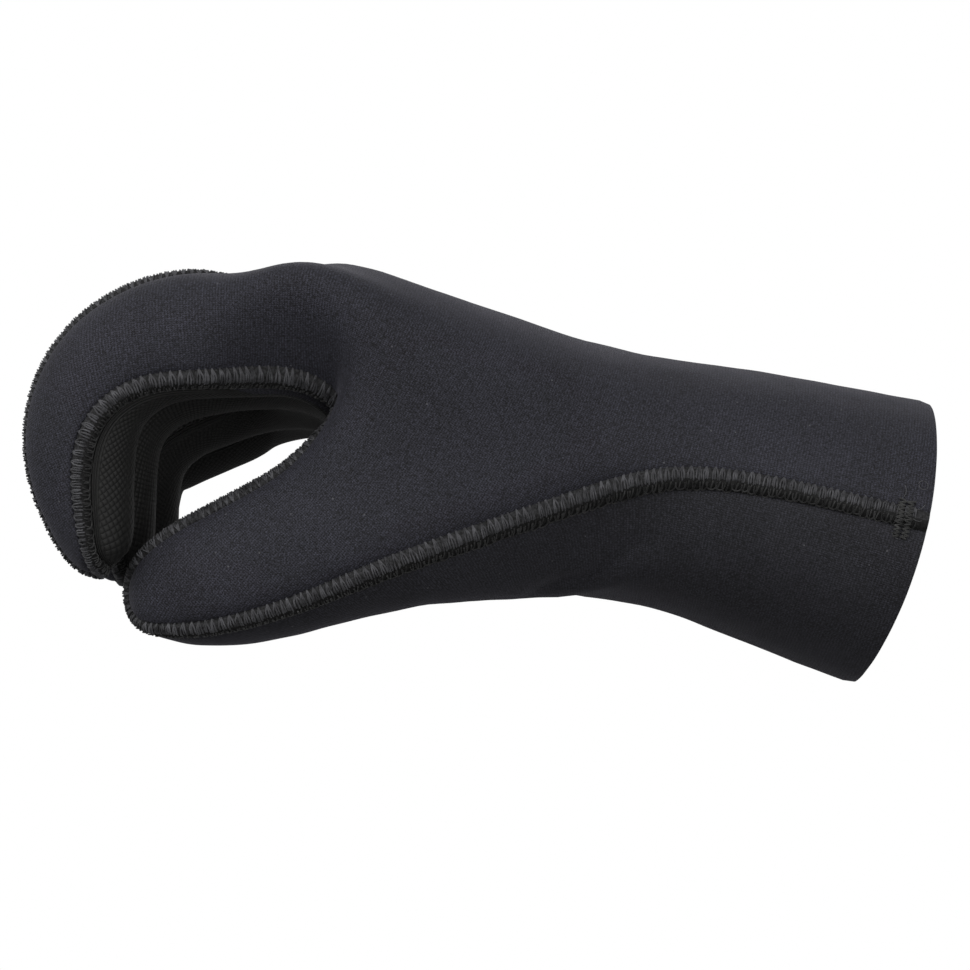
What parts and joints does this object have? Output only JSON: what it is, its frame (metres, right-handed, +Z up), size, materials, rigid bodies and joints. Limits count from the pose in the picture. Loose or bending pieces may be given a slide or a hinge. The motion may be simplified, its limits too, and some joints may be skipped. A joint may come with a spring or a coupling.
{
  "type": "diving glove",
  "caption": "Right-hand five-finger neoprene diving glove in the curled shape of the hand inside it, with a raised stitched seam and reinforced seam ends at the cuff.",
  "frame": {"origin": "centre of the cuff opening, at the rim", "axes": "+X from the knuckles towards the cuff, +Z up from the palm to the back of the hand, -Y towards the thumb side"},
  "size_m": [0.2224, 0.1031, 0.1045],
  "materials": {
    "knit_neoprene": "nylon-faced neoprene, fine jersey knit, dark navy charcoal",
    "grip_neoprene": "neoprene embossed with a fine square grip grid, matt black",
    "seam_thread": "overlocked seam covered with charcoal thread",
    "bartack_thread": "dense charcoal zigzag stitches"
  },
  "bodies": {
    "root": {"back_panel": "knit_neoprene", "palm_panel": "grip_neoprene", "perimeter_seam": "seam_thread", "bartack_thumb_side": "bartack_thread", "bartack_little_side": "bartack_thread"}
  },
  "joints": []
}
